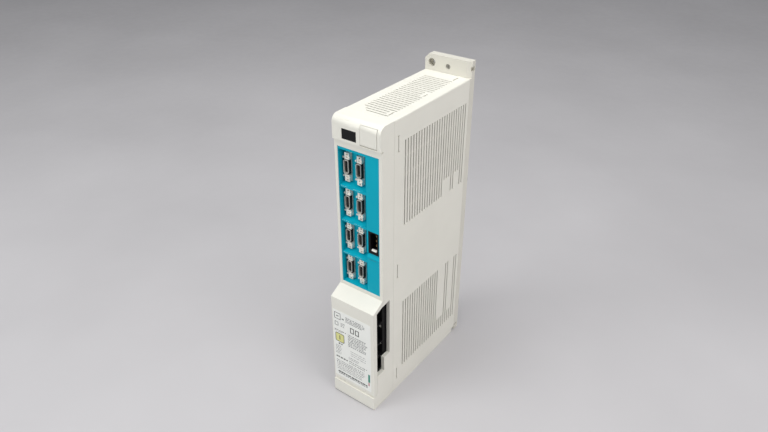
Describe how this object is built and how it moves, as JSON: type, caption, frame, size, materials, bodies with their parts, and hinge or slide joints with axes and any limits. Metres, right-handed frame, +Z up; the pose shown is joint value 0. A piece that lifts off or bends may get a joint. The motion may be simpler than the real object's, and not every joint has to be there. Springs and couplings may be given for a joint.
{
  "type": "servo drive",
  "caption": "Narrow wall-mounted two-axis servo drive with a teal connector panel, vented case, hinged terminal cover and rear mounting plate.",
  "frame": {"origin": "centre of the footprint, on the bottom face", "axes": "+Z up, -Y out of the front with the connectors, +X to the right seen from the front"},
  "size_m": [0.06, 0.192, 0.38],
  "materials": {
    "case_plastic": "warm white fine-grained moulded plastic",
    "chassis_paint": "warm white powder coat on sheet steel",
    "label_film": "satin printed film",
    "display_window": "smoked gloss window",
    "circuit_board": "green solder mask",
    "black_plastic": "black glass-filled plastic",
    "connector_black": "black moulded plastic",
    "blue_plastic": "blue moulded plastic",
    "red_plastic": "red moulded plastic",
    "white_plastic": "white moulded plastic",
    "teal_plastic": "teal moulded plastic, fine grain",
    "shell_nickel": "nickel plated sheet, satin",
    "screw_steel": "bright zinc plated steel",
    "contact_brass": "tin and brass, satin",
    "plate_steel": "nickel plated steel",
    "lamp_red": "red lamp lens",
    "sink_aluminium": "extruded aluminium",
    "capacitor_sleeve": "dark blue shrink sleeve"
  },
  "bodies": {
    "drive_case": {"right_panel": "case_plastic", "left_panel": "case_plastic", "top_panel": "case_plastic", "bottom_panel": "case_plastic", "front_bezel": "case_plastic", "chassis_plate": "chassis_paint", "flange_block": "chassis_paint", "display_lens": "display_window", "display_board": "circuit_board", "control_board": "circuit_board", "interface_board": "circuit_board", "power_board": "circuit_board", "display_module": "black_plastic", "brake_connector": "black_plastic", "terminal_block": "black_plastic", "motor_connector": "black_plastic", "fan_frame": "black_plastic", "power_module_1": "black_plastic", "power_module_2": "black_plastic", "io_insert_1": "connector_black", "io_insert_2": "connector_black", "io_insert_3": "connector_black", "io_insert_4": "connector_black", "io_insert_5": "connector_black", "io_insert_6": "connector_black", "io_insert_7": "connector_black", "io_insert_8": "connector_black", "rotary_switch": "blue_plastic", "dip_switch": "red_plastic", "inrush_relay": "white_plastic", "connector_panel": "teal_plastic", "io_shell_1": "shell_nickel", "io_shell_2": "shell_nickel", "io_shell_3": "shell_nickel", "io_shell_4": "shell_nickel", "io_shell_5": "shell_nickel", "io_shell_6": "shell_nickel", "io_shell_7": "shell_nickel", "io_shell_8": "shell_nickel", "flange_screw": "screw_steel", "chassis_screws": "screw_steel", "terminal_screws": "screw_steel", "earth_screws": "screw_steel", "board_screws": "screw_steel", "brake_contacts": "contact_brass", "motor_contacts": "contact_brass", "dc_terminal_plates": "contact_brass", "board_standoffs": "contact_brass", "control_terminal_plates": "plate_steel", "earth_plate": "plate_steel", "charge_lamp": "lamp_red", "heat_sink": "sink_aluminium", "dc_capacitors": "capacitor_sleeve"},
    "terminal_cover": {"terminal_cover": "case_plastic", "cover_label": "label_film"},
    "setting_door": {"setting_door": "case_plastic"},
    "fan_rotor": {"fan_rotor": "black_plastic"},
    "rotary_dial": {"rotary_dial": "white_plastic"},
    "dip_lever_1": {"dip_lever_1": "white_plastic"},
    "dip_lever_2": {"dip_lever_2": "white_plastic"}
  },
  "joints": [
    {"name": "terminal_cover_hinge", "type": "hinge", "parent": "drive_case", "child": "terminal_cover", "pos_m": [0, -0.0925, 0.02225], "axis": [1, 0, 0], "range_deg": [0, 90]},
    {"name": "setting_door_hinge", "type": "hinge", "parent": "drive_case", "child": "setting_door", "pos_m": [0.0151, -0.0775, 0.3385], "axis": [1, 0, 0], "range_deg": [0, 90]},
    {"name": "fan_spin", "type": "hinge", "parent": "drive_case", "child": "fan_rotor", "pos_m": [0, 0.063, 0.01], "axis": [0, 0, 1], "continuous": true},
    {"name": "rotary_dial_turn", "type": "hinge", "parent": "drive_case", "child": "rotary_dial", "pos_m": [0.0102, -0.071, 0.346], "axis": [0, -1, 0], "continuous": true},
    {"name": "dip_lever_1_slide", "type": "slide", "parent": "drive_case", "child": "dip_lever_1", "axis": [0, 0, 1], "range_m": [0, 0.0018]},
    {"name": "dip_lever_2_slide", "type": "slide", "parent": "drive_case", "child": "dip_lever_2", "axis": [0, 0, 1], "range_m": [0, 0.0018]}
  ]
}
